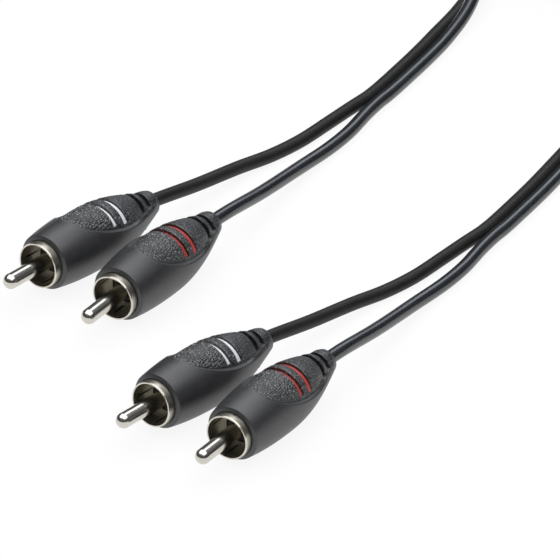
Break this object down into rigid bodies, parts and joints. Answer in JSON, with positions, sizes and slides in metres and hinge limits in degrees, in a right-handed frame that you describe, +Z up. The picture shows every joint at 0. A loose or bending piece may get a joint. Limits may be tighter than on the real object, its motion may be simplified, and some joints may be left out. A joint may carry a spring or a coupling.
{
  "type": "stereo audio lead",
  "caption": "Flat twin audio lead with a white-striped and a red-striped phono plug at each end; the spare length is tied in a neat coil.",
  "frame": {"origin": "middle of the plugs' footprint, on the surface that they lie on", "axes": "+Z up from the surface; +Y away from the plugs' noses, the way the cables run; +X to the right of the picture"},
  "size_m": [0.1558, 0.2661, 0.0134],
  "materials": {
    "boot": "satin soft moulding, pebbled on the grip panel",
    "ring_nickel": "bright nickel plate",
    "pin_nickel": "polished nickel plate",
    "washer": "matt black",
    "white_plastic": "satin white",
    "red_plastic": "satin red",
    "insulation": "milky white",
    "copper": "bare copper strands",
    "jacket": "smooth black cable jacket with a soft sheen",
    "tie": "satin black"
  },
  "bodies": {
    "root": {"first_white_centre_pin": "pin_nickel", "first_white_insulator": "washer", "first_white_ground_ring": "ring_nickel", "first_white_inner_body": "white_plastic", "first_white_boot": "boot", "first_white_signal_wire": "copper", "first_white_wire_insulation": "insulation", "first_white_drain_wire": "copper", "first_red_centre_pin": "pin_nickel", "first_red_insulator": "washer", "first_red_ground_ring": "ring_nickel", "first_red_inner_body": "red_plastic", "first_red_boot": "boot", "first_red_signal_wire": "copper", "first_red_wire_insulation": "insulation", "first_red_drain_wire": "copper", "first_white_leg": "jacket", "first_red_leg": "jacket", "first_twin_run": "jacket", "second_white_centre_pin": "pin_nickel", "second_white_insulator": "washer", "second_white_ground_ring": "ring_nickel", "second_white_inner_body": "white_plastic", "second_white_boot": "boot", "second_white_signal_wire": "copper", "second_white_wire_insulation": "insulation", "second_white_drain_wire": "copper", "second_red_centre_pin": "pin_nickel", "second_red_insulator": "washer", "second_red_ground_ring": "ring_nickel", "second_red_inner_body": "red_plastic", "second_red_boot": "boot", "second_red_signal_wire": "copper", "second_red_wire_insulation": "insulation", "second_red_drain_wire": "copper", "second_white_leg": "jacket", "second_red_leg": "jacket", "second_twin_run": "jacket", "twin_coil": "jacket", "coil_tie": "tie"}
  },
  "joints": []
}
